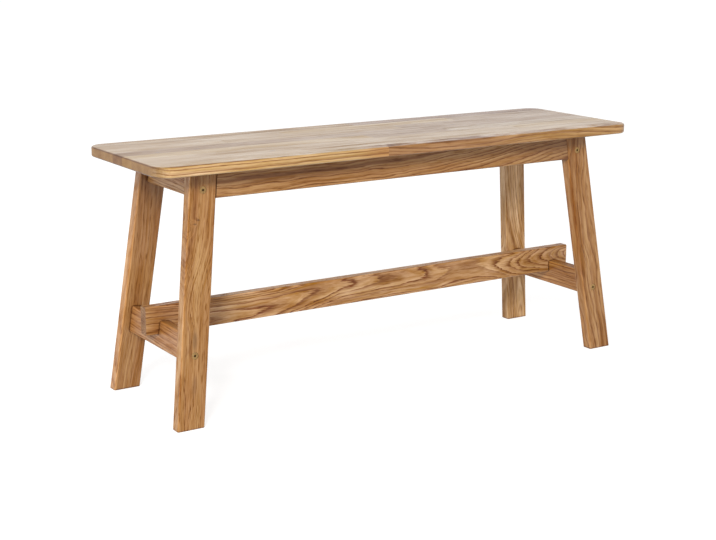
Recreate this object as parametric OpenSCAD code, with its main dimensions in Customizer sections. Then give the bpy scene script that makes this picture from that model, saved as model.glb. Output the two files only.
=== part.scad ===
/*
  Indoor bench in solid oak with splayed legs.
  X runs along the seat, Y from the front to the back and Z up.
  The origin is on the floor, under the middle of the seat.
  Each long side is a flat frame of two legs and an apron, tilted in towards the seat.
  The end aprons and end stretchers are bolted between the two side frames.
  One long stretcher is lapped over both end stretchers and runs a little past them.
*/

/* [Seat] */
// Length of the seat
seat_l = 1010; // [900:10:1300]
// Width of the seat, front to back
seat_w = 300; // [280:2:360]
// Thickness of the seat panel
seat_t = 18; // [17:1:28]
// Height of the seat's top above the floor
seat_h = 450; // [420:5:480]
// Radius of the seat's corners in plan
corner_r = 30; // [12:1:38]
// Width of the front row of staves; the other rows share the rest alike
front_stave_w = 27; // [15:1:39]
// Radius of the seat's eased edges
seat_arris_r = 3; // [1:0.5:5]

/* [Legs] */
// Width of a leg, seen from the long side
leg_w = 50; // [46:1:60]
// Thickness of a leg, front to back
leg_t = 22; // [20:1:28]
// Overhang of the seat past the legs' outer edges, under the seat
end_overhang = 77; // [60:1:100]
// Overhang of the seat past the legs' outer faces, under the seat
side_overhang = 44.5; // [40:0.5:55]
// Tilt of each side frame towards the middle, in degrees
side_tilt = 5; // [3:0.5:6]
// Lean of the legs in their own frame, in degrees
end_lean = 7; // [4:0.5:8]

/* [Rails] */
// Thickness of the aprons and the end stretchers
rail_t = 21; // [20:1:24]
// Depth of the aprons under the seat
apron_h = 48; // [44:1:60]
// Height of an end stretcher's own section
stretcher_h = 48; // [44:1:54]
// Height of the end stretchers' middle above the floor
stretcher_mid_z = 133; // [110:1:170]
// Height of the long stretcher's own section
long_rail_h = 51; // [46:1:60]
// Thickness of the long stretcher
long_rail_t = 21; // [18:1:26]
// How far the long stretcher's underside lies under the end stretchers' top
lap_h = 23; // [16:1:30]
// How far the long stretcher runs past the end stretchers
stub_l = 25; // [12:1:40]
// Play of the lap on the inner side of each end stretcher
lap_play = 1.2; // [0.4:0.2:2]
// Radius of the eased edges of the legs and rails
arris_r = 3; // [1:0.5:4]

/* [Fittings] */
// Diameter of the connector bolts' shanks
bolt_d = 6; // [5:0.5:7]
// Diameter of the bolts' flat heads
bolt_head_d = 12; // [10:1:16]
// Thickness of the bolts' flat heads
bolt_head_t = 2.5; // [1.5:0.5:3]
// Width of the hexagon socket in a bolt head, across its corners
socket_d = 4.6; // [3:0.2:6]
// How far a bolt reaches into the end of its rail
bolt_reach = 40; // [34:1:50]
// Diameter of the barrel nuts
nut_d = 10; // [9:0.5:12]
// Length of the barrel nuts
nut_l = 14; // [12:1:16]
// Distance of a barrel nut's axis from the end of its rail
nut_inset = 30; // [22:1:32]
// How far the bolts lie under the middle of their rail
bolt_drop = 8; // [5:0.5:10]
// Diameter of the dowels
dowel_d = 8; // [6:0.5:9]
// Length of a dowel inside its rail
dowel_in_rail = 18; // [14:1:24]
// Length of a locating dowel inside the leg's face
dowel_in_face = 11; // [8:1:14]
// Length of an apron dowel inside the leg's edge
dowel_in_edge = 15; // [10:1:17]
// How far the locating dowels lie above the middle of their rail
dowel_rise = 10; // [8:0.5:12]
// Distance between the two dowels at one end of a side apron
dowel_pitch = 24; // [18:1:26]
// Diameter of the wood screws' shanks
screw_d = 4.5; // [3.5:0.5:5]
// Diameter of the wood screws' heads
screw_head_d = 8.6; // [7:0.2:9]
// Height of the cone under a wood screw's head
screw_head_h = 3; // [2:0.5:4]
// Length of the seat screws
seat_screw_l = 40; // [38:1:44]
// Bite of the seat screws in the seat panel
seat_screw_bite = 12; // [8:1:13]
// Distance of the outer seat screws from the legs' inner edges
seat_screw_inset = 78; // [40:1:120]
// Length of the lap screws
lap_screw_l = 60; // [50:1:66]

/* [Hidden] */
$fn = 48;

// Where the butt joints of each row of staves lie, as shares of the seat's length, front row first
stave_joint_shares = [
  [0.436],
  [0.29, 0.55],
  [0.416, 0.78],
  [0.475, 0.65],
  [0.395],
  [0.22, 0.59],
  [0.36, 0.74],
  [0.53]
];
rows = len(stave_joint_shares);
piece_letters = "abc";
stave_w = (seat_w - front_stave_w) / (rows - 1);

// Radial play of a shank, a head, a nut or a dowel in its hole
hole_play = 0.2;
// Room left past the end of a blind hole's contents
end_play = 1;
// Depth of a bolt head's top under the face of its leg
head_sink = 0.5;
// Depth of the hexagon socket as a share of the head's thickness
socket_depth_share = 0.7;
// Length of a wood screw's point as a share of its length
point_share = 0.12;
// Radius of a wood screw's blunt tip
tip_r = 0.4;
// Overrun of every cut
over = 5;

// Heights of the seat's underside and of the aprons' lower edges
under_z = seat_h - seat_t;
apron_z = under_z - apron_h;

// A side frame's own height, from the floor to the seat, along its outer face
slope_h = under_z / cos(side_tilt);
// Distance of a frame's outer face from the middle, on the floor
foot_y = seat_w / 2 - side_overhang + slope_h * sin(side_tilt);
// Outer edge of the legs under the seat
top_x = seat_l / 2 - end_overhang;
// Lean of the end rails, which follow the legs' middle lines
rail_lean = atan(tan(end_lean) / cos(side_tilt));

// Distance down a leg's middle line to the height z, at a depth under the leg's outer face
function leg_run(z, depth = 0) =
  (slope_h - leg_w / 2 * sin(end_lean) - (z + depth * sin(side_tilt)) / cos(side_tilt)) / cos(end_lean);
// Distance of the legs' middle line from the centre, where an end rail meets the legs
function rail_x(z) = top_x - leg_w / 2 * cos(end_lean) + leg_run(z, leg_t) * sin(end_lean);
// Distance of the inner faces of the legs from the middle, at the height z
function inner_y(z) = foot_y - leg_t * cos(side_tilt) - (z + leg_t * sin(side_tilt)) * tan(side_tilt);

apron_mid_z = apron_z + apron_h / 2;
stretcher_top_z = stretcher_mid_z + stretcher_h / 2 * cos(rail_lean);
stretcher_low_z = stretcher_mid_z - stretcher_h / 2 * cos(rail_lean);
long_rail_z = stretcher_top_z - lap_h;
lap_z = long_rail_z + lap_h / 2;
long_rail_l = 2 * (rail_x(lap_z) + rail_t / 2 / cos(rail_lean) + stub_l);

// Line of the seat screws, in the middle of the aprons' thickness
seat_screw_y = foot_y - rail_t / 2 * cos(side_tilt)
  - (apron_mid_z + rail_t / 2 * sin(side_tilt)) * tan(side_tilt);
seat_screw_z = under_z + seat_screw_bite - seat_screw_l;
outer_screw_x = top_x - leg_w - seat_screw_inset;
lap_screw_z = stretcher_low_z + screw_head_h;

// Section of a board with eased edges
module eased_section(w, t, r) {
  translate([r, 0]) square([w - 2 * r, t]);
  translate([0, r]) square([w, t - 2 * r]);
  for (x = [r, w - r], y = [r, t - r]) translate([x, y]) circle(r);
}

// Board that stands on its end, from z = 0 to z = l
module board(w, t, l, r) {
  linear_extrude(l) eased_section(w, t, r);
}

// Board that lies along X, with its face in the XZ plane and its middle at x = 0
module board_x(l, t, h, r) {
  translate([-l / 2, 0, 0]) rotate([90, 0, 90]) linear_extrude(l) eased_section(t, h, r);
}

// Board that lies along Y, with its section's middle at the origin
module board_y(l, t, h, r) {
  translate([-t / 2, l / 2, -h / 2]) rotate([90, 0, 0]) linear_extrude(l) eased_section(t, h, r);
}

// Layer of space between two heights
module layer(z0, z1) {
  translate([-seat_l, -seat_l, z0]) cube([2 * seat_l, 2 * seat_l, z1 - z0]);
}

// The front side frame's own plane: X along it, Y into it from its outer face, Z up its slope
module side_frame() {
  translate([0, -foot_y, 0]) rotate([-side_tilt, 0, 0]) children();
}

// The front right leg's own axes, with their origin on its outer face, in its middle, at its top
module leg_axes() {
  side_frame()
    translate([top_x, 0, slope_h])
      rotate([0, -end_lean, 0])
        translate([-leg_w / 2, 0, 0])
          children();
}

// Copies at the four legs
module at_legs() {
  for (mx = [0, 1], my = [0, 1])
    mirror([mx, 0, 0]) mirror([0, my, 0]) leg_axes() children();
}

// Seat

// Profile of the seat's edge, from x = 0 to the edge at x = reach
module edge_profile(reach) {
  square([reach - seat_arris_r, seat_t]);
  translate([0, seat_arris_r]) square([reach, seat_t - 2 * seat_arris_r]);
  for (y = [seat_arris_r, seat_t - seat_arris_r])
    translate([reach - seat_arris_r, y]) circle(seat_arris_r);
}

// The whole glued panel, before it is thought of as staves
module seat_panel() {
  flat_l = seat_l - 2 * corner_r;
  flat_w = seat_w - 2 * corner_r;
  translate([0, 0, under_z]) {
    for (a = [0, 180])
      rotate([0, 0, a]) translate([flat_l / 2, 0, 0])
        rotate([90, 0, -90]) linear_extrude(flat_l) mirror([1, 0, 0]) edge_profile(seat_w / 2);
    for (a = [0, 180])
      rotate([0, 0, a]) translate([flat_l / 2, flat_w / 2, 0])
        rotate([90, 0, 0]) linear_extrude(flat_w) edge_profile(corner_r);
    for (mx = [0, 1], my = [0, 1])
      mirror([mx, 0, 0]) mirror([0, my, 0]) translate([flat_l / 2, flat_w / 2, 0])
        rotate_extrude(angle = 90) edge_profile(corner_r);
  }
}

// Front edge of a row of staves
function row_y(row) = -seat_w / 2 + (row == 0 ? 0 : front_stave_w + (row - 1) * stave_w);
// Left end of a piece in its row
function piece_x(row, k) = let (joints = stave_joint_shares[row])
  -seat_l / 2 + (k == 0 ? 0 : k > len(joints) ? 1 : joints[k - 1]) * seat_l;

module seat_stave(row, k) {
  tone = 0.06 * ((row * 2 + k) % 3);
  color([0.78 - tone, 0.64 - tone, 0.47 - tone])
    difference() {
      intersection() {
        seat_panel();
        translate([piece_x(row, k), row_y(row), 0])
          cube([piece_x(row, k + 1) - piece_x(row, k), row_y(row + 1) - row_y(row), seat_h + over]);
      }
      at_seat_screws()
        cylinder(d = screw_d + 2 * hole_play, h = seat_screw_l + end_play);
    }
}

// Legs

module leg(mx, my) {
  color("peru")
    mirror([mx, 0, 0]) mirror([0, my, 0])
      difference() {
        intersection() {
          leg_axes() translate([-leg_w / 2, 0, -2 * slope_h]) board(leg_w, leg_t, 3 * slope_h, arris_r);
          layer(0, under_z);
        }
        leg_axes() {
          bolt_holes();
          dowel_holes();
        }
      }
}

// Aprons and stretchers

module side_apron(my) {
  color("peru")
    mirror([0, my, 0])
      difference() {
        intersection() {
          side_frame() difference() {
            translate([0, 0, slope_h - apron_h / cos(side_tilt)])
              board_x(2 * top_x, rail_t, 2 * apron_h, arris_r);
            for (mx = [0, 1]) mirror([mx, 0, 0]) apron_end_cut();
          }
          layer(0, under_z);
        }
        for (mx = [0, 1]) mirror([mx, 0, 0]) leg_axes() dowel_holes();
        at_seat_screws() seat_screw_hole();
      }
}

// What the leg's inner edge takes off an apron's end
module apron_end_cut() {
  translate([top_x, 0, slope_h]) rotate([0, -end_lean, 0])
    translate([-leg_w, -over, -slope_h]) cube([2 * leg_w, leg_t + 2 * over, 2 * slope_h]);
}

// Space between the inner faces of the two side frames
module between_frames() {
  rotate([90, 0, 90]) translate([0, 0, -seat_l])
    linear_extrude(2 * seat_l)
      polygon([
        [-inner_y(0), 0], [inner_y(0), 0],
        [inner_y(under_z), under_z], [-inner_y(under_z), under_z]
      ]);
}

// Rail between the front and back legs, drawn at the right end
module end_rail(mid_z, h) {
  intersection() {
    translate([rail_x(mid_z), 0, mid_z]) rotate([0, -rail_lean, 0]) board_y(seat_w, rail_t, h, arris_r);
    between_frames();
  }
}

module end_apron(mx) {
  color("peru")
    mirror([mx, 0, 0])
      difference() {
        intersection() {
          end_rail(apron_mid_z + apron_h / 2, 2 * apron_h / cos(rail_lean));
          layer(0, under_z);
        }
        rail_end_holes();
      }
}

module end_stretcher(mx) {
  color("peru")
    mirror([mx, 0, 0])
      difference() {
        end_rail(stretcher_mid_z, stretcher_h);
        translate([0, -long_rail_t / 2, lap_z]) cube([seat_l, long_rail_t, stretcher_h]);
        rail_end_holes();
        lap_screw_hole();
      }
}

module long_stretcher() {
  color("sienna")
    difference() {
      translate([0, -long_rail_t / 2, long_rail_z])
        board_x(long_rail_l, long_rail_t, long_rail_h, arris_r);
      for (mx = [0, 1]) mirror([mx, 0, 0]) {
        translate([rail_x(lap_z), 0, lap_z]) rotate([0, -rail_lean, 0]) lap_slot();
        lap_screw_hole();
      }
    }
}

// The slot that takes an end stretcher, under its tilted top
module lap_slot() {
  intersection() {
    translate([-rail_t / 2 - lap_play, -long_rail_t, -long_rail_h])
      cube([rail_t + lap_play, 2 * long_rail_t, 2 * long_rail_h]);
    rotate([0, rail_lean, 0])
      translate([-long_rail_h, -long_rail_t, -long_rail_h])
        cube([2 * long_rail_h, 2 * long_rail_t, long_rail_h]);
  }
}

// Fittings, drawn in a leg's own axes, where they run into the leg along Y

// The bolt of the rail whose middle is at mid_z
module at_bolt(mid_z) {
  translate([0, 0, -leg_run(mid_z - bolt_drop)]) children();
}
module at_dowel(mid_z) {
  translate([0, 0, -leg_run(mid_z + dowel_rise)]) children();
}
module at_bolts() {
  for (mid_z = [apron_mid_z, stretcher_mid_z]) at_bolt(mid_z) children();
}

// Rod along Y from y = a to y = b
module rod(d, a, b) {
  translate([0, a, 0]) rotate([-90, 0, 0]) cylinder(d = d, h = b - a);
}

module bolt_holes() {
  at_bolts() {
    rod(bolt_d + 2 * hole_play, 0, leg_t + bolt_reach + end_play);
    rod(bolt_head_d + 2 * hole_play, -over, head_sink + bolt_head_t);
    translate([0, leg_t + nut_inset, -leg_t * 2])
      cylinder(d = nut_d + 2 * hole_play, h = leg_t * 2 + nut_l / 2 + end_play / 2);
  }
}

module dowel_holes() {
  for (mid_z = [apron_mid_z, stretcher_mid_z]) at_dowel(mid_z)
    rod(dowel_d + 2 * hole_play, leg_t - dowel_in_face - end_play / 2, leg_t + dowel_in_rail + end_play / 2);
  at_apron_dowels()
    apron_rod(dowel_d + 2 * hole_play, dowel_in_edge + end_play / 2, dowel_in_rail + end_play / 2);
}

// The two dowels in the leg's inner edge
module at_apron_dowels() {
  for (side = [-1, 1])
    translate([-leg_w / 2, rail_t / 2, leg_w / 2 * tan(end_lean) - leg_run(apron_mid_z + side * dowel_pitch / 2)])
      children();
}
module apron_rod(d, in_leg, in_rail) {
  translate([in_leg, 0, 0]) rotate([0, -90, 0]) cylinder(d = d, h = in_leg + in_rail);
}

// Holes in the ends of an end rail at the right
module rail_end_holes() {
  for (my = [0, 1]) mirror([0, my, 0]) leg_axes() {
    bolt_holes();
    dowel_holes();
  }
}

module connector_bolts() {
  color("dimgray")
    at_legs() at_bolts() difference() {
      union() {
        rod(bolt_d, head_sink + bolt_head_t / 2, leg_t + bolt_reach);
        rod(bolt_head_d, head_sink, head_sink + bolt_head_t);
      }
      translate([0, -over, 0]) rotate([-90, 0, 0])
        cylinder(d = socket_d, h = over + head_sink + bolt_head_t * socket_depth_share, $fn = 6);
    }
}

module barrel_nuts() {
  color("silver")
    at_legs() at_bolts() difference() {
      translate([0, leg_t + nut_inset, -nut_l / 2]) cylinder(d = nut_d, h = nut_l);
      rod(bolt_d + hole_play, leg_t, leg_t + bolt_reach + over);
    }
}

module locating_dowels() {
  color("tan")
    at_legs() for (mid_z = [apron_mid_z, stretcher_mid_z]) at_dowel(mid_z)
      rod(dowel_d, leg_t - dowel_in_face, leg_t + dowel_in_rail);
}

module apron_dowels() {
  color("tan")
    at_legs() at_apron_dowels() apron_rod(dowel_d, dowel_in_edge, dowel_in_rail);
}

// Wood screws, which point up

module wood_screw(l) {
  point_l = point_share * l;
  cylinder(d1 = screw_head_d, d2 = screw_d, h = screw_head_h);
  cylinder(d = screw_d, h = l - point_l);
  translate([0, 0, l - point_l]) cylinder(d1 = screw_d, r2 = tip_r, h = point_l);
}

module at_seat_screws() {
  for (k = [-1, 0, 1], side = [-1, 1])
    translate([k * outer_screw_x, side * seat_screw_y, seat_screw_z]) children();
}

module seat_screw_hole() {
  cylinder(d = screw_d + 2 * hole_play, h = seat_screw_l);
  translate([0, 0, -apron_h]) cylinder(d = screw_head_d + 2 * hole_play, h = apron_h);
  cylinder(d1 = screw_head_d + 2 * hole_play, d2 = screw_d + 2 * hole_play, h = screw_head_h);
}

module seat_screws() {
  color("silver") at_seat_screws() wood_screw(seat_screw_l);
}

module at_lap_screw() {
  translate([rail_x(stretcher_low_z), 0, lap_screw_z - screw_head_h]) children();
}

module lap_screw_hole() {
  at_lap_screw() {
    cylinder(d = screw_d + 2 * hole_play, h = lap_screw_l + end_play);
    translate([0, 0, -over]) cylinder(d = screw_head_d + 2 * hole_play, h = over);
    cylinder(d1 = screw_head_d + 2 * hole_play, d2 = screw_d + 2 * hole_play, h = screw_head_h);
  }
}

module lap_screws() {
  color("silver")
    for (mx = [0, 1]) mirror([mx, 0, 0]) at_lap_screw() wood_screw(lap_screw_l);
}

for (row = [0 : rows - 1], k = [0 : len(stave_joint_shares[row])])
  seat_stave(row, k);
leg(1, 0);  // leg_front_left
leg(0, 0);  // leg_front_right
leg(1, 1);  // leg_back_left
leg(0, 1);  // leg_back_right
side_apron(0);  // side_apron_front
side_apron(1);  // side_apron_back
end_apron(1);  // end_apron_left
end_apron(0);  // end_apron_right
end_stretcher(1);  // end_stretcher_left
end_stretcher(0);  // end_stretcher_right
long_stretcher();
connector_bolts();
barrel_nuts();
locating_dowels();
apron_dowels();
seat_screws();
lap_screws();
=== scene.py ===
# %% [markdown]
# # An oak bench, dressed cell by cell
# The bench is a seat glued up from short oak staves, on two tilted side frames of legs and aprons.
# End rails are bolted between the frames, and one long stretcher is lapped over the two lower ones.
# The solids come ready made and keep their places. This lesson gives them their wood and metal,
# their cut edges and their light.
# Each step starts with the real thing, then the ways to make it, then the reason for the one chosen.

import math
import random

import bpy
import numpy as np
from mathutils import Matrix, Vector

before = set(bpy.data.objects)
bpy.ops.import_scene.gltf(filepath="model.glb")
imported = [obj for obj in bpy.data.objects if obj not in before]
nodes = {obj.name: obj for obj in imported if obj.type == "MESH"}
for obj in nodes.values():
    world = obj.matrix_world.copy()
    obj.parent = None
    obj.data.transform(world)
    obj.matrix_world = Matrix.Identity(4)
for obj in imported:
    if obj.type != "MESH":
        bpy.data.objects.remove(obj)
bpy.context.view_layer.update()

# %% [markdown]
# ## Colours
# Colours are written as hex values, the way a paint card or a picture editor gives them. Those are
# sRGB values, bent to suit the eye, while light adds up in linear values. One function turns them.

# %% From hex to linear light
MM = 0.001


def linear(hex_colour):
    """An sRGB hex colour as linear red, green, blue and alpha."""
    parts = [int(hex_colour[i:i + 2], 16) / 255 for i in (1, 3, 5)]
    light = [p / 12.92 if p <= 0.04045 else ((p + 0.055) / 1.055) ** 2.4 for p in parts]
    return (*light, 1.0)


print("mid grey is", round(linear("#808080")[0], 3), "in linear light")

# %% [markdown]
# ## Camera
# A product shot is taken from well back with a long lens, so that upright things stay nearly parallel.
# Here the camera stands 2.8 m away to the left, at hip height, and looks a little down.
# A camera could be aimed by a tracking constraint. Building its axes from three angles needs nothing
# that acts later on, so the other views can turn it freely.

# %% The camera
FRAME_WIDTH = 36  # mm of film, which a lens's length is given for
FARTHEST_SEEN = 200  # m


def turned_camera(place, swing, dip, roll, lens):
    """A camera at a place, swung to the right, dipped and rolled by angles in radians."""
    ahead = Vector((math.sin(swing) * math.cos(dip), math.cos(swing) * math.cos(dip), -math.sin(dip)))
    level = Vector((math.cos(swing), -math.sin(swing), 0))
    right = math.cos(roll) * level + math.sin(roll) * level.cross(ahead)
    data = bpy.data.cameras.new("camera")
    data.sensor_width = FRAME_WIDTH
    data.lens = lens
    data.clip_end = FARTHEST_SEEN
    made = bpy.data.objects.new("camera", data)
    bpy.context.scene.collection.objects.link(made)
    turn = Matrix((right, right.cross(ahead), -ahead)).transposed()
    made.matrix_world = Matrix.Translation(place) @ turn.to_4x4()
    return made


camera = turned_camera(Vector((-1.4536, -2.2143, 0.8299)), swing=0.5707, dip=0.2373, roll=0.0025, lens=72.1)
bpy.context.scene.camera = camera
print("lens of", round(camera.data.lens, 1), "mm at", [round(x, 2) for x in camera.location], "m")

# %% [markdown]
# ## Nodes
# A finish is a tree of nodes. One small function adds a node with its settings and joins what it is
# given to its sockets. A socket is named, or, where names repeat, counted from the top of the node.
# Two more save typing: one starts a material with an empty tree, and one sets the stops of a ramp.

# %% One function adds every node
MIX_A, MIX_B = 6, 7  # where a Mix node takes its two colours


def add_node(tree, kind, inputs=(), **settings):
    """A node with its settings. An input is a value, a socket, or a node that stands for its output."""
    node = tree.nodes.new(kind)
    for name, value in settings.items():
        setattr(node, name, value)
    for place, value in inputs.items() if isinstance(inputs, dict) else enumerate(inputs):
        if isinstance(value, bpy.types.Node):
            value = next(s for s in value.outputs if s.enabled)
        if isinstance(value, bpy.types.NodeSocket):
            tree.links.new(value, node.inputs[place])
        else:
            node.inputs[place].default_value = value
    return node


# %% Bare materials and the stops of a ramp
def bare_material(name):
    """A new material and its tree, with nothing in it yet."""
    material = bpy.data.materials.new(name)
    material.use_nodes = True
    material.node_tree.nodes.clear()
    return material, material.node_tree


def grey(level):
    """A grey of some level, as a colour."""
    return level, level, level, 1


def set_stops(ramp, stops):
    """Give a ramp its stops: for each, a position from 0 to 1 and a colour."""
    elements = ramp.color_ramp.elements
    for _ in stops[2:]:
        elements.new(0.5)
    for element, (position, colour) in zip(elements, stops):
        element.position, element.color = position, colour


print("a half grey is", grey(0.5))

# %% [markdown]
# ## Oak
# A board's look comes from where it lay in the log. The yearly rings are tubes about the heart of the
# log. A face that cuts them flat shows tall arches, one that cuts them square shows straight lines,
# and an end shows arcs.
# A picture of wood could be laid on every face, but its lines would break off at the edges. Here the
# wood fills space instead, so its lines run over the edges and out at the ends as in a real board.
# All boards share one group of nodes, which works in millimetres with the length of the board along X.

# %% A group for solid oak
oak = bpy.data.node_groups.new("solid_oak", "ShaderNodeTree")
OAK_INPUTS = {
    "Point": "Vector",
    "Facing": "Vector",
    "Wood": "Color",
    "Dark tint": "Vector",
    "Heart across": "Float",
    "Heart deep": "Float",
    "Ring width": "Float",
    "Waviness": "Float",
    "Figure": "Float",
    "Streaks": "Float",
    "Patches": "Float",
    "Warmth": "Float",
    "Pores": "Float",
    "Knot": "Float",
    "Swell": "Float",
    "Half length": "Float",
    "Half width": "Float",
    "Half depth": "Float",
    "Left edge": "Float",
    "End grain": "Float",
    "Edge film": "Float",
    "Glued": "Float",
    "Painted shade": "Float",
    "Seed": "Float",
}
OAK_OUTPUTS = {"Colour": "Color", "Roughness": "Float", "Film": "Float", "Height": "Float"}
for way, sockets in (("INPUT", OAK_INPUTS), ("OUTPUT", OAK_OUTPUTS)):
    for name, kind in sockets.items():
        oak.interface.new_socket(name, in_out=way, socket_type="NodeSocket" + kind)
given = add_node(oak, "NodeGroupInput").outputs
print("the group takes", len(OAK_INPUTS), "inputs")

# %% [markdown]
# ### Rings
# A tree never grows as true as a lathe would turn it, so the point is first swayed by a slow noise.
# Its distance from the heart, counted in ring widths, is the year. Each spring the oak lays down a band
# of open vessels, which takes up more oil and looks dark, and fades into denser summer wood.
# The vessels of a band lie in ragged rows, so a finer noise feathers its line. No two years are alike,
# so the widths and the strengths of the bands change with the year. Near a knot the rings swell out.

# %% Sway the point as the tree grew
SWAY_LENGTH, SWAY_WIDTH = 110, 40
sway_at = add_node(oak, "ShaderNodeVectorMath",
                   [given["Point"], (1 / SWAY_LENGTH, 1 / SWAY_WIDTH, 1 / SWAY_WIDTH)], operation="MULTIPLY")
sway = add_node(oak, "ShaderNodeTexNoise",
                {"Vector": sway_at, "W": given["Seed"], "Scale": 1.0, "Detail": 2.5, "Roughness": 0.5},
                noise_dimensions="4D")
sway_even = add_node(oak, "ShaderNodeVectorMath", [sway.outputs["Color"], (0.5, 0.5, 0.5)],
                     operation="SUBTRACT")
sway_mm = add_node(oak, "ShaderNodeVectorMath", {0: sway_even, "Scale": given["Waviness"]},
                   operation="SCALE")
swayed = add_node(oak, "ShaderNodeVectorMath", [given["Point"], sway_mm], operation="ADD")
place = add_node(oak, "ShaderNodeSeparateXYZ", [swayed]).outputs
print("rings sway over", SWAY_LENGTH, "mm along the grain and", SWAY_WIDTH, "mm across it")

# %% Distance from the heart, feathered
FEATHER_SIZE, FEATHER_MM = (40, 1.8, 1.8), 2.5
off_across = add_node(oak, "ShaderNodeMath", [place[1], given["Heart across"]], operation="SUBTRACT")
off_deep = add_node(oak, "ShaderNodeMath", [place[2], given["Heart deep"]], operation="SUBTRACT")
off = add_node(oak, "ShaderNodeCombineXYZ", {"Y": off_across, "Z": off_deep})
from_heart = add_node(oak, "ShaderNodeVectorMath", [off], operation="LENGTH").outputs["Value"]
feather_at = add_node(oak, "ShaderNodeVectorMath", [given["Point"], tuple(1 / s for s in FEATHER_SIZE)],
                      operation="MULTIPLY")
feather = add_node(oak, "ShaderNodeTexNoise",
                   {"Vector": feather_at, "W": given["Seed"], "Scale": 1.0, "Detail": 2.0},
                   noise_dimensions="4D")
feathered = add_node(oak, "ShaderNodeMath", [feather, FEATHER_MM, from_heart], operation="MULTIPLY_ADD")
pushed = add_node(oak, "ShaderNodeMath", [feathered, given["Swell"]], operation="ADD")
print("a line is feathered by up to", FEATHER_MM, "mm")

# %% From distance to years
YEARS_ALIKE, YEAR_SPREAD = 2.5, 2.2
even_years = add_node(oak, "ShaderNodeMath", [pushed, given["Ring width"]], operation="DIVIDE")
luck_at = add_node(oak, "ShaderNodeMath", [even_years, given["Seed"]], operation="ADD")
luck = add_node(oak, "ShaderNodeTexNoise", {"W": luck_at, "Scale": 1 / YEARS_ALIKE, "Detail": 1.0},
                noise_dimensions="1D")
years = add_node(oak, "ShaderNodeMath", [luck, YEAR_SPREAD, even_years], operation="MULTIPLY_ADD")
print("good and bad years come in spells of", YEARS_ALIKE)

# %% The dark band of each spring
BAND_STOPS = [(0.0, 0.6), (0.05, 1.0), (0.15, 0.85), (0.32, 0.35), (0.62, 0.0), (0.95, 0.0), (1.0, 0.6)]
WEAKEST_BAND = 0.5
part_of_year = add_node(oak, "ShaderNodeMath", [years], operation="FRACT")
band = add_node(oak, "ShaderNodeValToRGB", {"Fac": part_of_year})
band.color_ramp.interpolation = "EASE"
set_stops(band, [(position, grey(level)) for position, level in BAND_STOPS])
year = add_node(oak, "ShaderNodeMath", [years], operation="FLOOR")
year_seed = add_node(oak, "ShaderNodeMath", [year, given["Seed"]], operation="ADD")
year_luck = add_node(oak, "ShaderNodeTexWhiteNoise", {"W": year_seed}, noise_dimensions="1D")
year_strength = add_node(oak, "ShaderNodeMapRange", {"Value": year_luck, "To Min": WEAKEST_BAND})
spring = add_node(oak, "ShaderNodeMath", [band, year_strength], operation="MULTIPLY")
print("a band has stops at", [round(e.position, 2) for e in band.color_ramp.elements])

# %% [markdown]
# ### Fibres, vessels and patches
# Fibres follow the rings and give streaks about 100 mm long and 3 mm wide. The vessels are cut open
# into grooves about 0.3 mm wide and 24 mm long. One pixel of the picture covers 1.9 mm of the bench,
# so grooves that fine would be lost. They are drawn 1.9 mm wide.
# Broad patches of colour, about 220 mm long and 20 mm wide, come from how the wood took the oil.

# %% Three noises, long along the grain and narrow across it
# Each noise has the point it is read at, its size in mm along, across and deep, and its detail.
with_rings = add_node(oak, "ShaderNodeCombineXYZ", [place[0], from_heart, off_across])
GRAIN_SIZES = {
    "patch": (given["Point"], (220, 20, 20), 1.0),
    "streak": (with_rings, (100, 2.8, 21), 3.5),
    "vessel": (given["Point"], (24, 1.9, 1.9), 1.5),
}
grain = {}
for what, (start, size, detail) in GRAIN_SIZES.items():
    at = add_node(oak, "ShaderNodeVectorMath", [start, tuple(1 / s for s in size)], operation="MULTIPLY")
    grain[what] = add_node(oak, "ShaderNodeTexNoise",
                           {"Vector": at, "W": given["Seed"], "Scale": 1.0, "Detail": detail,
                            "Roughness": 0.65}, noise_dimensions="4D")
vessel = add_node(oak, "ShaderNodeMapRange",
                  {"Value": grain["vessel"], "From Min": 0.52, "From Max": 0.62, "To Max": given["Pores"]})
print("noises for", ", ".join(grain))

# %% [markdown]
# ### Ends, edges and glue lines
# End grain drinks more oil than a face does and turns darker, and the rounded rim of an end is drawn
# darker still. Hands and sandpaper lighten the rounded edges of legs and rails. Between two glued
# staves there is a hairline.
# The facing of the surface, turned into the board's own axes, tells an end from a face. Where it
# points partly out of the end and partly out of the top, it is the rim.

# %% Ends, tops and rims, from the way the surface faces
END_STARTS, END_FULLY = 0.5, 0.85
facing = add_node(oak, "ShaderNodeSeparateXYZ", [given["Facing"]]).outputs
end_facing, top_facing = (add_node(oak, "ShaderNodeMath", [facing[axis]], operation="ABSOLUTE")
                          for axis in (0, 2))
rim_facing = add_node(oak, "ShaderNodeMath", [end_facing, top_facing], operation="MULTIPLY")
end = add_node(oak, "ShaderNodeMapRange",
               {"Value": end_facing, "From Min": END_STARTS, "From Max": END_FULLY})
top = add_node(oak, "ShaderNodeMapRange", {"Value": top_facing, "From Min": 0.9, "From Max": 0.99})
end_rim = add_node(oak, "ShaderNodeMapRange", {"Value": rim_facing, "From Min": 0.15, "From Max": 0.45})
print("the surface counts as an end where it faces", END_FULLY, "or more along the board")

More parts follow.
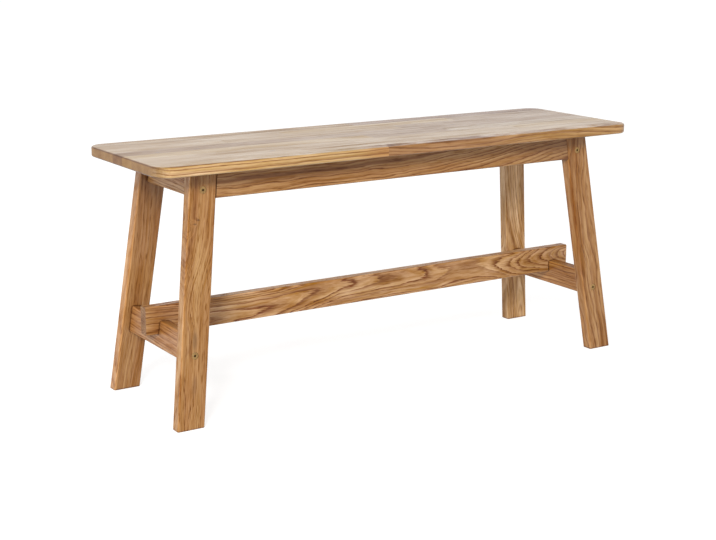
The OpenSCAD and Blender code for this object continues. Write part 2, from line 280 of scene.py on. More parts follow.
# %% Worn edges and glue lines, from the gap to the board's sides
WORN_REACH, WORN_FULLY = 4.5, 0.8
HAIRLINE_REACH, HAIRLINE_FULLY = 0.6, 0.15
spot = add_node(oak, "ShaderNodeSeparateXYZ", [given["Point"]]).outputs
to_side = []
for axis, half in enumerate(("Half length", "Half width", "Half depth")):
    from_middle = add_node(oak, "ShaderNodeMath", [spot[axis]], operation="ABSOLUTE")
    to_side.append(add_node(oak, "ShaderNodeMath", [given[half], from_middle], operation="SUBTRACT"))
worn = [add_node(oak, "ShaderNodeMapRange", {"Value": gap, "From Min": WORN_REACH, "From Max": WORN_FULLY},
                 interpolation_type="SMOOTHSTEP") for gap in to_side[1:]]
corner = add_node(oak, "ShaderNodeMath", worn, operation="MULTIPLY")
loose = add_node(oak, "ShaderNodeMath", [1.0, given["Glued"]], operation="SUBTRACT")
rubbed = add_node(oak, "ShaderNodeMath", [corner, loose], operation="MULTIPLY")
to_joint = add_node(oak, "ShaderNodeMath", to_side[:2], operation="MINIMUM")
hairline = add_node(oak, "ShaderNodeMapRange",
                    {"Value": to_joint, "From Min": HAIRLINE_REACH, "From Max": HAIRLINE_FULLY})
glued = add_node(oak, "ShaderNodeMath", [hairline, given["Glued"]], operation="MULTIPLY")
glue_line = add_node(oak, "ShaderNodeMath", [glued, top], operation="MULTIPLY")
print("edges are worn for", WORN_REACH, "mm, and a glue line is", 2 * HAIRLINE_REACH, "mm wide")

# %% [markdown]
# ### Colour
# The wood's own colour is shaded by each pattern in turn, from the broad to the fine. Oiled oak keeps
# its red where it darkens and loses its blue most, so each shade multiplies the colour by a tint. An
# even grey shade would look like dirt. Dark patches also lean towards a redder brown.
# A board can be drawn paler or darker in a strip along one edge. In inner corners the wood is
# darkened as painted shade, which draws a dark line.

# %% Pale and dark wood
WARM_COLOUR = linear("#9A6430")
PALE_TINT = (1.3, 1.45, 2.3)
warm_share = add_node(oak, "ShaderNodeMapRange",
                      {"Value": grain["patch"], "From Min": 0.65, "From Max": 0.3, "To Max": given["Warmth"]})
warmed = add_node(oak, "ShaderNodeMix", {"Factor": warm_share, MIX_A: given["Wood"], MIX_B: WARM_COLOUR},
                  data_type="RGBA")
darkest, palest = (add_node(oak, "ShaderNodeVectorMath", [warmed, tint], operation="MULTIPLY")
                   for tint in (given["Dark tint"], PALE_TINT))
pale_share = 0.5
for what, strength in (("streak", "Streaks"), ("patch", "Patches")):
    even = add_node(oak, "ShaderNodeMath", [grain[what], 0.5], operation="SUBTRACT")
    pale_share = add_node(oak, "ShaderNodeMath", [even, given[strength], pale_share],
                          operation="MULTIPLY_ADD")
streaked = add_node(oak, "ShaderNodeMix", {"Factor": pale_share, MIX_A: darkest, MIX_B: palest},
                    data_type="RGBA")
print("pale wood is", PALE_TINT, "times the tone")

# %% Rings, knots and vessels
SPRING_TINT = (0.32, 0.13, 0.0, 1)
VESSEL_TINT = (0.5, 0.33, 0.0, 1)
KNOT_COLOUR = linear("#4A2A12")
END_CALM = 0.5
VESSEL_EVER, VESSEL_IN_SPRING = 0.35, 0.6
figured = add_node(oak, "ShaderNodeMath", [spring, given["Figure"]], operation="MULTIPLY")
end_calm = add_node(oak, "ShaderNodeMath", [end, -END_CALM, 1.0], operation="MULTIPLY_ADD")
spring_share = add_node(oak, "ShaderNodeMath", [figured, end_calm], operation="MULTIPLY")
ringed = add_node(oak, "ShaderNodeMix", {"Factor": spring_share, MIX_A: streaked, MIX_B: SPRING_TINT},
                  data_type="RGBA", blend_type="MULTIPLY")
knotted = add_node(oak, "ShaderNodeMix", {"Factor": given["Knot"], MIX_A: ringed, MIX_B: KNOT_COLOUR},
                   data_type="RGBA")
vessel_share = add_node(oak, "ShaderNodeMath", [spring, VESSEL_IN_SPRING, VESSEL_EVER],
                        operation="MULTIPLY_ADD")
vessel_dark = add_node(oak, "ShaderNodeMath", [vessel, vessel_share], operation="MULTIPLY")
pored = add_node(oak, "ShaderNodeMix", {"Factor": vessel_dark, MIX_A: knotted, MIX_B: VESSEL_TINT},
                 data_type="RGBA", blend_type="MULTIPLY")
print("a dark ring keeps", SPRING_TINT[:3], "of red, green and blue")

# %% Ends, edges, glue lines and painted shade in corners
END_TINT = linear("#B4A276")
RIM_TINT = (0.45, 0.32, 0.18, 1)
PAINTED_SHADE_TINT = (0.3, 0.2, 0.1, 1)
EDGE_LIGHTER, GLUE_DARKER, STRIP_WIDTH = 0.1, 0.35, 5
end_share = add_node(oak, "ShaderNodeMath", [end, given["End grain"]], operation="MULTIPLY")
shaded = pored
# The last tint is painted shade, darkest in inner corners.
for share, tint in ((end_share, END_TINT), (end_rim, RIM_TINT), (given["Painted shade"], PAINTED_SHADE_TINT)):
    shaded = add_node(oak, "ShaderNodeMix", {"Factor": share, MIX_A: shaded, MIX_B: tint},
                      data_type="RGBA", blend_type="MULTIPLY")
edge_shade = add_node(oak, "ShaderNodeMath", [rubbed, EDGE_LIGHTER, 1.0], operation="MULTIPLY_ADD")
# Some boards are drawn paler or darker in a strip along one edge, which on a leg takes in its narrow side.
from_left = add_node(oak, "ShaderNodeMath", [spot[1], given["Half width"]], operation="ADD")
left_edge = add_node(oak, "ShaderNodeMapRange", {"Value": from_left, "From Min": STRIP_WIDTH,
                                                 "From Max": 0, "To Max": given["Left edge"]})
left_shade = add_node(oak, "ShaderNodeMath", [left_edge, 1.0], operation="ADD")
glue_shade = add_node(oak, "ShaderNodeMath", [glue_line, -GLUE_DARKER, 1.0], operation="MULTIPLY_ADD")
for shade in (edge_shade, left_shade, glue_shade):
    shaded = add_node(oak, "ShaderNodeVectorMath", {0: shaded, "Scale": shade}, operation="SCALE")
print("the strip along an edge is", STRIP_WIDTH, "mm wide")

# %% [markdown]
# ### Gloss and relief
# The oil dries to a thin clear film that shines. It stays on the dense pale wood and sinks away in
# the bands, the vessels and the ends, so that a vessel is dark, dull and sunk all at once. On the
# sides of the seat the film is thinner than on its flat top.
# One even gloss would look like a sheet of plastic laid over the wood. So the patterns that shade the
# colour are used again here.

# %% Gloss: how rough the wood is, and where the film of oil stays
WOOD_ROUGH, STREAK_SMOOTHER, SUNK_ROUGHER, END_ROUGHER = 0.5, 0.2, 0.2, 0.1
FILM_START, FILM_GROWTH = -0.2, 1.9
FILM_SINKS, END_SINKS = 0.9, 0.35
sunk = add_node(oak, "ShaderNodeMath", [spring_share, vessel], operation="MAXIMUM")
dull_streak = add_node(oak, "ShaderNodeMath", [grain["streak"], -STREAK_SMOOTHER, WOOD_ROUGH],
                       operation="MULTIPLY_ADD")
dull_sunk = add_node(oak, "ShaderNodeMath", [sunk, SUNK_ROUGHER, dull_streak], operation="MULTIPLY_ADD")
rough = add_node(oak, "ShaderNodeMath", [end, END_ROUGHER, dull_sunk], operation="MULTIPLY_ADD")
even_film = add_node(oak, "ShaderNodeMath", [pale_share, FILM_GROWTH, FILM_START],
                     operation="MULTIPLY_ADD", use_clamp=True)
end_open = add_node(oak, "ShaderNodeMath", [end, END_SINKS], operation="MULTIPLY")
open_grain = add_node(oak, "ShaderNodeMath", [sunk, end_open], operation="MAXIMUM")
film_left = add_node(oak, "ShaderNodeMath", [open_grain, -FILM_SINKS, 1.0], operation="MULTIPLY_ADD")
sunk_film = add_node(oak, "ShaderNodeMath", [even_film, film_left], operation="MULTIPLY")
side_film = add_node(oak, "ShaderNodeMapRange",
                     {"Value": top_facing, "From Min": 0.3, "From Max": 0.95, "To Min": given["Edge film"]})
film = add_node(oak, "ShaderNodeMath", [sunk_film, side_film], operation="MULTIPLY", use_clamp=True)
print("open grain keeps", round(1 - FILM_SINKS, 2), "of the film")

# %% Relief: fibres stand up, vessels and bands lie low
FIBRE_MM, VESSEL_MM, BAND_MM = 0.05, -0.06, -0.04
fibre_mm = add_node(oak, "ShaderNodeMath", [grain["streak"], FIBRE_MM], operation="MULTIPLY")
vessel_mm = add_node(oak, "ShaderNodeMath", [vessel, VESSEL_MM, fibre_mm], operation="MULTIPLY_ADD")
height_mm = add_node(oak, "ShaderNodeMath", [spring, BAND_MM, vessel_mm], operation="MULTIPLY_ADD")
add_node(oak, "NodeGroupOutput", {"Colour": shaded, "Roughness": rough, "Film": film, "Height": height_mm})
print("the oak group has", len(oak.nodes), "nodes")

# %% [markdown]
# ## The boards
# Each board has its own axes: its length along the grain, its width and its depth. They could be
# typed in, but reading them off the solid keeps the grain true when a size changes.
# The largest flat face gives the depth, which points out of the side that shows most. The next flat
# face at a right angle gives the width.

# %% A board's axes, read off its solid
SHOWN_SIDE = Vector((-0.3, -0.9, 0.5))
NEARLY_SQUARE = 0.05


def board_axes(name):
    """The centre, the axes (length, width, depth) and the size of a board, in metres."""
    mesh = nodes[name].data
    faces = {}
    for face in mesh.polygons:
        normal = face.normal if max(face.normal, key=abs) > 0 else -face.normal
        key = tuple(round(c, 1) for c in normal)
        faces[key] = faces.get(key, Vector((0, 0, 0))) + normal * face.area
    ranked = [v.normalized() for v in sorted(faces.values(), key=lambda v: -v.length)]
    depth = ranked[0] if ranked[0].dot(SHOWN_SIDE) > 0 else -ranked[0]
    width = next(v for v in ranked[1:] if abs(v.dot(depth)) < NEARLY_SQUARE)
    width = (width - width.dot(depth) * depth).normalized()
    axes = Matrix((width.cross(depth), width, depth))
    points = np.array([axes @ v.co for v in mesh.vertices])
    low, high = Vector(points.min(0)), Vector(points.max(0))
    return (low + high) / 2, axes, high - low


BOARDS = [n for n in nodes if n.startswith(("seat_stave", "leg", "side_apron", "end_", "long_"))]
for name in BOARDS:
    middle, axes, size = board_axes(name)
    print(name, "is", " x ".join(str(round(s / MM, 1)) for s in size), "mm")

# %% [markdown]
# ## Where each board lay in the log
# The heart of the log runs past a board at a certain distance, and not quite along it. Its line is
# given by a few points: the share of the board's length, how far across the board it lies and how
# far under the shown face, in millimetres. A heart close under the face gives bold arches. One far to
# the side gives straight lines.
# The long stretcher has its heart nearest at its two ends, so its arches close towards the middle.
# The tone of a board can drift along its length. On the long stretcher and the back left leg a dark
# stretch of the drift is painted shade, where a leg or the seat shades them. A drift is given by a few
# points too: the share of the length, and the tone there.
# A knot is given by how far along and across it lies from the middle of the board, its length and
# width, all in millimetres, and how dark it is.
# The short staves of the seat were sawn from many boards, so they differ mostly in tone. A picture
# of one stave could be repeated, but the eye soon finds the one that comes back.

# %% Boards with a figure of their own
OAK_TONES = {
    "blond": "#CFA566",
    "oat": "#B1893E",
    "wheat": "#A57B34",
    "barley": "#BF9459",
    "straw": "#B68C53",
    "pale": "#B6935D",
    "bran": "#AB8850",
    "biscuit": "#AE8141",
    "honey": "#A67A3E",
    "chestnut": "#9C7536",
    "nut": "#A2753C",
    "russet": "#A27132",
    "toast": "#9D6E37",
    "cocoa": "#8F6430",
    "umber": "#91641E",
    "smoked": "#825010",
}
LOOKS = {
    "long_stretcher": {
        "Seed": 5, "Ring width": 4.0, "Waviness": 10, "Figure": 1.1, "Streaks": 2.6, "Patches": 1.1,
        # Painted shadow: the dark toast stretch near the left end stands for the shadow of the front left
        # leg.
        "drift": [(0, "straw"), (0.02, "toast"), (0.11, "toast"), (0.18, "barley"), (0.37, "barley"),
                  (0.44, "straw"), (0.68, "barley"), (0.85, "barley"), (1, "straw")],
        "heart": [(0, -12, 17), (0.24, -12, 25), (0.39, 11, 33), (0.54, 14, 38), (0.65, 8, 42), (0.72, 9, 46),
                  (0.79, 10, 44), (0.86, 3, 37), (0.93, 7, 27), (1, 5, 15)],
    },
    "side_apron_front": {
        "Seed": 2, "Ring width": 6, "Waviness": 18, "Figure": 0.95,
        "drift": [(0, "nut"), (0.15, "honey"), (0.8, "honey"), (1, "cocoa")],
        "heart": [(0, -95, 40), (0.5, -88, 40), (0.7, -78, 36), (0.85, -62, 30), (1, -48, 26)],
    },
    "leg_front_left": {
        "Seed": 5, "Ring width": 4, "Figure": 0.5, "Patches": 0.9, "Pores": 1.4,
        "heart": [(0, 100, 30), (0.2, 100, 30), (0.29, 97, 30), (0.5, 76, 30), (0.6, 74, 30), (1, 82, 30)],
        "knots": [(-135, -6, 1.6, 3.2, 0.6), (-128, -12, 1.6, 3.4, 0.6), (-119, -15, 5, 4, 0.12),
                  (68, -2, 18, 5, 0.45), (146, 2, 18, 5, 0.25)],
    },
    "leg_front_right": {
        "tone": "nut", "Seed": 8, "Ring width": 9, "Waviness": 30, "Figure": 0.6, "Streaks": 2.0,
        "Patches": 2.0,
        "heart": [(0, -38, 34), (0.12, -52, 34), (0.5, -50, 40), (1, -42, 34)],
    },
    "leg_back_left": {
        "Ring width": 4.5, "Figure": 0.45, "Left edge": 0.18,
        # Painted shade: the cocoa stretch darkens the top of the leg, standing for the shade under the seat.
        "drift": [(0, "cocoa"), (0.2, "cocoa"), (0.45, "nut"), (1, "nut")],
        "heart": [(0, 70, 25), (0.5, 78, 25), (1, 66, 25)],
    },
    "leg_back_right": {
        "tone": "blond", "Seed": 3, "Ring width": 4.5, "Waviness": 6, "Figure": 0.6, "Left edge": -0.22,
        "heart": [(0, -30, 25), (0.5, -22, 22), (0.8, 5, 16), (1, 8, 12)],
    },
    "end_apron_left": {"Ring width": 5, "Figure": 0.55, "heart": [(0, -60, 20), (1, -70, 20)]},
    "end_stretcher_left": {"tone": "toast", "Ring width": 7, "heart": [(0, -62, 25), (1, -66, 25)]},
    "end_stretcher_right": {"tone": "russet", "Ring width": 5, "heart": [(0, 60, 30), (1, 66, 30)]},
    "seat_stave_1a": {
        "tone": "pale", "Seed": 5, "Ring width": 6.5, "Waviness": 4, "Figure": 1.0, "Streaks": 1.7,
        "Patches": 0.6, "Pores": 0.7, "Left edge": 0.28,
        "drift": [(0, "pale"), (0.42, "pale"), (0.6, "bran"), (0.84, "bran"), (0.96, "nut"), (1, "nut")],
        "heart": [(0, 5, 62), (1, 5, 60)],
    },
    "seat_stave_1b": {
        "Seed": 3, "Ring width": 6, "Figure": 0.8, "Streaks": 2.2, "Patches": 0.7, "Pores": 0.7,
        "drift": [(0, "toast"), (0.4, "toast"), (0.6, "biscuit"), (1, "biscuit")],
        "heart": [(0, 5, 50), (0.3, 5, 60), (0.6, 5, 52), (1, 5, 64)],
    },
    "seat_stave_2a": {"tone": "wheat", "Seed": 33},
    "seat_stave_7a": {"tone": "wheat", "Seed": 21},
    "seat_stave_3a": {"tone": "wheat", "knots": [(35, -17, 6, 3, 0.7)]},
    "seat_stave_5a": {"tone": "umber", "knots": [(-128, -7, 6, 3, 0.7), (-55, -7.5, 6, 3, 0.7)]},
    "seat_stave_5b": {"tone": "umber", "knots": [(0, 8.5, 6, 3, 0.7)]},
    "seat_stave_6c": {"tone": "umber", "knots": [(159, 3.5, 6, 3, 0.7)]},
}
STAVE_TONES = {
    "oat": ("3c", "4a", "7b"),
    "wheat": ("2b", "2c", "3b", "6a", "6b", "8a"),
    "chestnut": ("4c",),
    "umber": ("4b", "7c"),
    "smoked": ("8b",),
}
for tone, staves in STAVE_TONES.items():
    for stave in staves:
        LOOKS["seat_stave_" + stave] = {"tone": tone}
print(len(LOOKS), "boards have a look of their own")

# %% [markdown]
# ## The look of every board
# The finish is a hardwax oil, rubbed in and buffed. On the seat there are more coats of it, so that its
# flat top shines at a low angle like a thin lacquer, and the figure under it looks faint.
# Every number of every board could be typed in, but most boards need nothing special. What a board's
# look leaves open is drawn by chance, from a fixed start, so every run gives the same bench.

# %% What seat and frame have in common, and what chance gives
SEAT_LOOK = {
    "Figure": 0.22, "Streaks": 0.32, "Patches": 1.3, "Pores": 0.35, "Warmth": 0.0,
    "Dark tint": (0.65, 0.53, 0.07), "End grain": 0.8, "Edge film": 0.35,
}
FRAME_LOOK = {
    "Figure": 0.8, "Streaks": 2.2, "Patches": 1.2, "Pores": 1.0, "Warmth": 0.5,
    "Dark tint": (0.68, 0.52, 0.07), "End grain": 1.0, "Edge film": 1.0,
}
chance = random.Random(11)


def board_look(name):
    """The look of a board: what is given for it, and what chance gives where nothing is."""
    seat = name.startswith("seat")
    side = chance.choice((-1, 1))
    start = side * (chance.uniform(0, 25) if seat else chance.uniform(30, 90))
    turn = chance.uniform(-12, 12)
    depth = chance.uniform(25, 60)
    look = {
        "tone": "honey", "drift": [], "knots": [], "Waviness": 10, "Left edge": 0.0,
        "heart": [(0, start, depth), (1, start + turn, depth)],
        "Ring width": chance.uniform(3.5, 5.5), "Seed": chance.uniform(0, 50),
    }
    look.update(SEAT_LOOK if seat else FRAME_LOOK)
    look.update(LOOKS.get(name, {}))
    return look


looks = {name: board_look(name) for name in BOARDS}
print("rings from", round(min(look["Ring width"] for look in looks.values()), 1), "to",
      round(max(look["Ring width"] for look in looks.values()), 1), "mm wide")

# %% [markdown]
# ## The heart, the tone and the knots of a board
# A curve node draws the line of the heart along the board. It holds values from 0 to 1, so distances
# of up to 200 mm to either side are squeezed into it and spread out again after it. A sum of waves
# could draw the line too, but a curve can be bent by hand.
# A knot is the foot of a branch: an oval dark core, with the rings swollen out around it. Its core
# fades out a little past its edge, and the swelling ends at four and a half times its size.

# %% The line of the heart and the tone along a board
HEART_REACH = 200


def heart_line(tree, share, levels):
    """A distance in mm that changes along a board, through levels at some shares of its length."""
    curve = add_node(tree, "ShaderNodeFloatCurve", {"Value": share})
    line = curve.mapping.curves[0]
    for _ in levels[2:]:
        line.points.new(0.5, 0.5)
    for dot, (position, level) in zip(line.points, levels):
        dot.location = (position, 0.5 + level / HEART_REACH / 2)
    curve.mapping.update()
    return add_node(tree, "ShaderNodeMapRange",
                    {"Value": curve, "To Min": -HEART_REACH, "To Max": HEART_REACH})


def tone_and_painted_shade(tree, share, look):
    """The tone of a board: one colour, or a drift of tones along its length, which on some boards also holds
    painted shade.
    """
    if not look["drift"]:
        return linear(OAK_TONES[look["tone"]])
    ramp = add_node(tree, "ShaderNodeValToRGB", {"Fac": share})
    set_stops(ramp, [(position, linear(OAK_TONES[tone])) for position, tone in look["drift"]])
    return ramp


print(sum(bool(look["drift"]) for look in looks.values()), "boards drift in tone along their length")

# %% The knots of a board
CORE_EDGE, CORE_FULL, SWELL_EDGE = 1.3, 0.5, 4.5
SWELL_SHARE = 2.5


def board_knots(tree, point, knots):
    """How dark the knots of a board are at a point, and how many mm they push its rings out."""
    darkness, swell = 0.0, 0.0
    for at, across, long, wide, dark in knots:
        gap = add_node(tree, "ShaderNodeVectorMath", [point, (at, across, 0)], operation="SUBTRACT")
        in_sizes = add_node(tree, "ShaderNodeVectorMath", [gap, (1 / long, 1 / wide, 0)],
                            operation="MULTIPLY")
        reach = add_node(tree, "ShaderNodeVectorMath", [in_sizes], operation="LENGTH").outputs["Value"]
        core = add_node(tree, "ShaderNodeMapRange", {"Value": reach, "From Min": CORE_EDGE,
                                                     "From Max": CORE_FULL, "To Max": dark})
        bulge = add_node(tree, "ShaderNodeMapRange", {"Value": reach, "From Min": SWELL_EDGE,
                                                      "From Max": 0.0, "To Max": SWELL_SHARE * wide},
                         interpolation_type="SMOOTHSTEP")
        darkness = add_node(tree, "ShaderNodeMath", [darkness, core], operation="MAXIMUM")
        swell = add_node(tree, "ShaderNodeMath", [swell, bulge], operation="ADD")
    return darkness, swell


print(sum(len(look["knots"]) for look in looks.values()), "knots in all")

# %% [markdown]
# ## Oiled oak on every board
# Gloss could be given to the wood itself. Here it lies on top as a coat, because the wood under the
# film stays rough, and the film can be thick in one place and gone in the next. On the frame the oil
# is nearly matt. The dark staves, and the pale one in front, drink more of it and keep a thinner film.
# How much of the sky a point can see within a few millimetres tells where an inner corner is. There
# the legs and rails are darkened as painted shade.

# %% One oiled oak material for each board
SEAT_FILM, FRAME_FILM = 0.94, 0.3
THIN_FILM = {"pale": 0.84, "umber": 0.84, "smoked": 0.76}
CORNER_REACH = 4 * MM


def oiled_oak(name, look):
    """The oiled oak of one board, cut from its own place in the log."""
    middle, axes, size = board_axes(name)
    seat = name.startswith("seat")
    material, tree = bare_material("oiled_oak_" + name)
    on_object = add_node(tree, "ShaderNodeTexCoord").outputs
    point = add_node(tree, "ShaderNodeMapping",
                     {"Vector": on_object["Object"], "Scale": (1 / MM, 1 / MM, 1 / MM),
                      "Rotation": axes.to_euler("XYZ"), "Location": -middle / MM})
    facing = add_node(tree, "ShaderNodeMapping",
                      {"Vector": on_object["Normal"], "Rotation": axes.to_euler("XYZ")})
    along = add_node(tree, "ShaderNodeSeparateXYZ", [point]).outputs[0]
    share = add_node(tree, "ShaderNodeMath", [along, MM / size[0], 0.5], operation="MULTIPLY_ADD")
    shown_face = size[2] / MM / 2
    knot, swell = board_knots(tree, point, look["knots"])
    painted_corner_shade = 0.0
    # Painted shade: where little sky is seen within a few millimetres, the wood is drawn darker.
    if not seat:
        open_sky = add_node(tree, "ShaderNodeAmbientOcclusion", {"Distance": CORNER_REACH}, samples=8)
        painted_corner_shade = add_node(tree, "ShaderNodeMapRange",
                         {"Value": open_sky.outputs["AO"], "From Min": 0.9, "From Max": 0.5})
    wood = add_node(tree, "ShaderNodeGroup", {
        **{socket: look[socket] for socket in OAK_INPUTS if socket in look},
        "Point": point, "Facing": facing, "Wood": tone_and_painted_shade(tree, share, look),
        "Heart across": heart_line(tree, share, [(at, across) for at, across, _ in look["heart"]]),
        "Heart deep": heart_line(tree, share, [(at, shown_face - deep) for at, _, deep in look["heart"]]),
        "Knot": knot, "Swell": swell, "Glued": float(seat), "Painted shade": painted_corner_shade,
        "Half length": size[0] / MM / 2, "Half width": size[1] / MM / 2, "Half depth": shown_face,
    }, node_tree=oak)
    thickest = THIN_FILM.get(look["tone"], SEAT_FILM) if seat else FRAME_FILM
    film = add_node(tree, "ShaderNodeMath", [wood.outputs["Film"], thickest], operation="MULTIPLY")
    relief = add_node(tree, "ShaderNodeBump",
                      {"Height": wood.outputs["Height"], "Strength": 0.7, "Distance": MM})
    skin = add_node(tree, "ShaderNodeBsdfPrincipled",
                    {"Base Color": wood.outputs["Colour"], "Roughness": wood.outputs["Roughness"],
                     "Normal": relief, "Specular IOR Level": 0.45 if seat else 0.35,
                     "Coat Weight": film, "Coat Roughness": 0.22, "Coat IOR": 1.65 if seat else 1.5})
    add_node(tree, "ShaderNodeOutputMaterial", {"Surface": skin})
    return material


for name in BOARDS:
    nodes[name].data.materials[0] = oiled_oak(name, looks[name])
print("oiled", len(BOARDS), "boards")

# %% [markdown]
# ## Broken edges
# The joiner runs sandpaper along every edge of a leg or rail, so that none is left sharp. The small
# round catches the light as a thin line, which tells the eye that the piece is solid wood.
# The solids have sharp edges. A bevel modifier rounds them without touching the mesh. The mesh comes
# with its points split along the edges, so they are welded first, and weighted normals keep the big
# faces flat.

# %% Round the edges of legs and rails
EDGE_RADIUS = 0.9 * MM
SAME_POINT = 0.01 * MM
SHARP_TURN = math.radians(40)


def round_edges(name, radius):
    """Break the edges of a solid with a small round."""
    piece = nodes[name]
    weld = piece.modifiers.new("weld", "WELD")
    weld.merge_threshold = SAME_POINT
    bevel = piece.modifiers.new("round", "BEVEL")
    bevel.width = radius
    bevel.segments = 2
    bevel.limit_method = "ANGLE"
    bevel.angle_limit = SHARP_TURN
    bevel.use_clamp_overlap = True
    flat = piece.modifiers.new("flat faces", "WEIGHTED_NORMAL")
    flat.keep_sharp = False


for name in BOARDS:
    if not name.startswith("seat"):
        round_edges(name, EDGE_RADIUS)
print("rounded the edges of", sum(not n.startswith("seat") for n in BOARDS), "legs and rails")

# %% [markdown]
# ## Bronzed steel
# The connector bolts are steel, dipped in a bronze stain that leaves a thin brown film, paler in
# spots where it is thin. A metal's colour is its reflection, so the film is drawn as a brown metal
# with soft spots. The deep socket for the key is drawn nearly black as painted shade.
# Nuts and screws are plated with zinc, which is the same idea in pale grey.

# %% Bronzed and zinc-plated steel
GRIT_MM = 0.4


def spotted_metal(name, colours, spot_mm, rough):
    """A metal whose thin coat is uneven: its colour and its gloss wander over spots of some size."""
    material, tree = bare_material(name)
    on_object = add_node(tree, "ShaderNodeTexCoord").outputs["Object"]
    spots = add_node(tree, "ShaderNodeTexNoise",
                     {"Vector": on_object, "Scale": 1 / (spot_mm * MM), "Detail": 3.0, "Roughness": 0.6})
    grit = add_node(tree, "ShaderNodeTexNoise",
                    {"Vector": on_object, "Scale": 1 / (GRIT_MM * MM), "Detail": 2.0})
    share = add_node(tree, "ShaderNodeMapRange", {"Value": spots, "From Min": 0.35, "From Max": 0.65})
    film = add_node(tree, "ShaderNodeMix",
                    {"Factor": share, MIX_A: linear(colours[0]), MIX_B: linear(colours[1])}, data_type="RGBA")
    # Painted shade: where little of the part is open to the sky, as in a socket, the metal is drawn nearly
    # black.
    open_sky = add_node(tree, "ShaderNodeAmbientOcclusion", {"Distance": 3 * MM}, samples=8, only_local=True)
    painted_hollow_shade = add_node(tree, "ShaderNodeMapRange",
                     {"Value": open_sky.outputs["AO"], "From Min": 0.4, "From Max": 0.9, "To Min": 0.06})
    colour = add_node(tree, "ShaderNodeVectorMath", {0: film, "Scale": painted_hollow_shade}, operation="SCALE")
    dull = add_node(tree, "ShaderNodeMapRange",
                    {"Value": grit, "From Min": 0.3, "From Max": 0.7, "To Min": rough[0], "To Max": rough[1]})
    relief = add_node(tree, "ShaderNodeBump", {"Height": grit, "Strength": 0.3, "Distance": 0.02 * MM})
    skin = add_node(tree, "ShaderNodeBsdfPrincipled",
                    {"Base Color": colour, "Metallic": 1.0, "Roughness": dull, "Normal": relief})
    add_node(tree, "ShaderNodeOutputMaterial", {"Surface": skin})
    return material


nodes["connector_bolts"].data.materials[0] = spotted_metal(
    "bronzed_steel", ("#92744A", "#AE8C5C"), spot_mm=2.5, rough=(0.36, 0.52))
zinc = spotted_metal("zinc_plated_steel", ("#A8ACAE", "#C6C8C6"), spot_mm=1.5, rough=(0.28, 0.42))
for name in ("barrel_nuts", "seat_screws", "lap_screws"):
    nodes[name].data.materials[0] = zinc
print("plated", ", ".join(n for n in nodes if nodes[n].data.materials[0] == zinc))

# %% [markdown]
# ## Beech
# Dowels are turned from beech, which is pinkish and even, with short brown flecks along the grain.
# They sit in their holes, so little of them is ever seen.

# %% Turned beech for the dowels
FLECK_MM = (2.5, 0.6, 0.6)
beech, tree = bare_material("turned_beech")
on_object = add_node(tree, "ShaderNodeTexCoord").outputs["Object"]
fleck_at = add_node(tree, "ShaderNodeVectorMath",
                    [on_object, tuple(1 / (s * MM) for s in FLECK_MM)], operation="MULTIPLY")
flecks = add_node(tree, "ShaderNodeTexNoise", {"Vector": fleck_at, "Scale": 1.0, "Detail": 2.0})
fleck_share = add_node(tree, "ShaderNodeMapRange", {"Value": flecks, "From Min": 0.5, "From Max": 0.7})
colour = add_node(tree, "ShaderNodeMix",
                  {"Factor": fleck_share, MIX_A: linear("#D2A57C"), MIX_B: linear("#A8744A")},
                  data_type="RGBA")
dull = add_node(tree, "ShaderNodeMapRange", {"Value": flecks, "To Min": 0.5, "To Max": 0.65})
relief = add_node(tree, "ShaderNodeBump", {"Height": flecks, "Strength": 0.4, "Distance": 0.05 * MM})
skin = add_node(tree, "ShaderNodeBsdfPrincipled",
                {"Base Color": colour, "Roughness": dull, "Normal": relief})
add_node(tree, "ShaderNodeOutputMaterial", {"Surface": skin})
for name in ("locating_dowels", "apron_dowels"):
    nodes[name].data.materials[0] = beech
print("flecks of", FLECK_MM[0], "by", FLECK_MM[1], "mm")

# %% [markdown]
# ## Floor
# In the studio a white sheet fills the view. A real white sheet would throw much light up under the
# bench. Here it is a grey sheet with a glow of its own, which the wood of the bench doesn't see, so
# the undersides stay dark and the sheet still looks white.

# %% The studio floor
FLOOR_REACH = 60
mesh = bpy.data.meshes.new("studio_floor")
mesh.from_pydata([(x * FLOOR_REACH, y * FLOOR_REACH, 0) for x, y in ((-1, -1), (1, -1), (1, 1), (-1, 1))],
                 [], [(0, 1, 2, 3)])
sheet = bpy.data.materials.new("white_acrylic_sheet")
sheet.use_nodes = True
for socket, value in (("Base Color", grey(0.5)), ("Roughness", 0.9),
                      ("Emission Color", grey(1)), ("Emission Strength", 0.66)):
    sheet.node_tree.nodes["Principled BSDF"].inputs[socket].default_value = value
mesh.materials.append(sheet)
floor = bpy.data.objects.new("studio_floor", mesh)
bpy.context.scene.collection.objects.link(floor)
floor.visible_diffuse = False
print("the sheet is", 2 * FLOOR_REACH, "m wide")

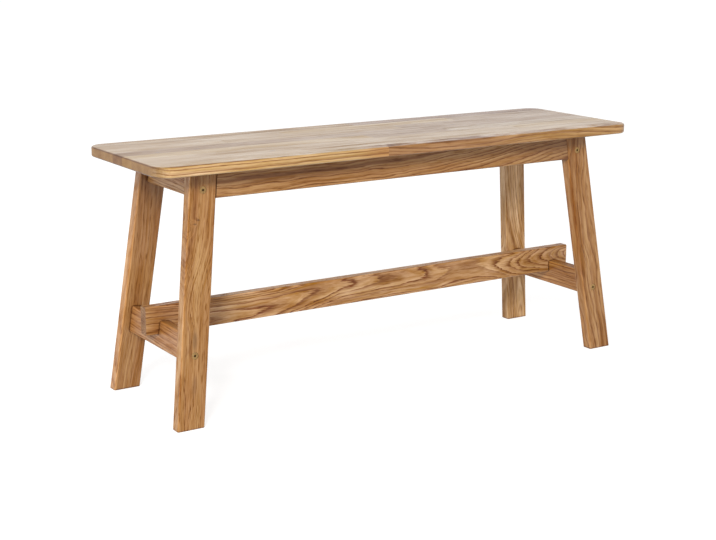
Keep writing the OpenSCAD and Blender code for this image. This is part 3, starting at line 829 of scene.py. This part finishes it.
# %% [markdown]
# ## Light
# The room around the sheet is white too, so light comes softly from all sides. It is brightest at the
# height of the walls and fainter overhead, and at a low angle the seat mirrors the far wall. The light
# from below is fainter too, and starts so low that the far edge of the sheet never shows against it.
# A picture of a real room could light the bench. A sky shaded only by height is more even, and it
# needs no file.
# A large lamp in front on the left makes the front faces brighter than the ends. It isn't mirrored in
# gloss, because seen from behind it would lie on the seat as a glaring patch. A weak lamp, low on the
# left, lightens the left sides of the legs.

# %% The white room
SKY_STOPS = [(0.48, 0.55), (0.49, 1.0), (0.66, 1.0), (0.8, 0.6)]
world = bpy.data.worlds.new("white studio")
world.use_nodes = True
sky = world.node_tree
towards = add_node(sky, "ShaderNodeTexCoord").outputs["Generated"]
height = add_node(sky, "ShaderNodeSeparateXYZ", [towards]).outputs["Z"]
height_share = add_node(sky, "ShaderNodeMapRange", {"Value": height, "From Min": -1.0, "From Max": 1.0})
ramp = add_node(sky, "ShaderNodeValToRGB", {"Fac": height_share})
set_stops(ramp, [(position, grey(level)) for position, level in SKY_STOPS])
sky.links.new(ramp.outputs[0], sky.nodes["Background"].inputs["Color"])
bpy.context.scene.world = world
print("the room is", SKY_STOPS[1][1], "bright at the walls and", SKY_STOPS[3][1], "overhead")

# %% Two soft lamps
def softbox(name, place, target, size, power, mirrored):
    """A soft lamp at a place, aimed at a target. It may be mirrored in gloss, or light only."""
    data = bpy.data.lights.new(name, "AREA")
    data.shape = "RECTANGLE"
    data.size, data.size_y = size
    data.energy = power
    lamp = bpy.data.objects.new(name, data)
    bpy.context.scene.collection.objects.link(lamp)
    lamp.location = place
    lamp.rotation_mode = "QUATERNION"
    lamp.rotation_quaternion = (Vector(target) - Vector(place)).to_track_quat("-Z", "Y")
    lamp.visible_glossy = mirrored
    return lamp


key = softbox("key_softbox", place=(-2.9, -2.9, 2.4), target=(0, 0, 0.35), size=(1.4, 1.0), power=175,
              mirrored=False)
fill = softbox("fill_softbox", place=(-2.5, 0.8, 0.35), target=(-0.4, 0.1, 0.25), size=(0.8, 0.5), power=10,
               mirrored=True)
bpy.context.scene.view_settings.view_transform = "Standard"
print("a lamp of", key.data.energy, "W and one of", fill.data.energy, "W")
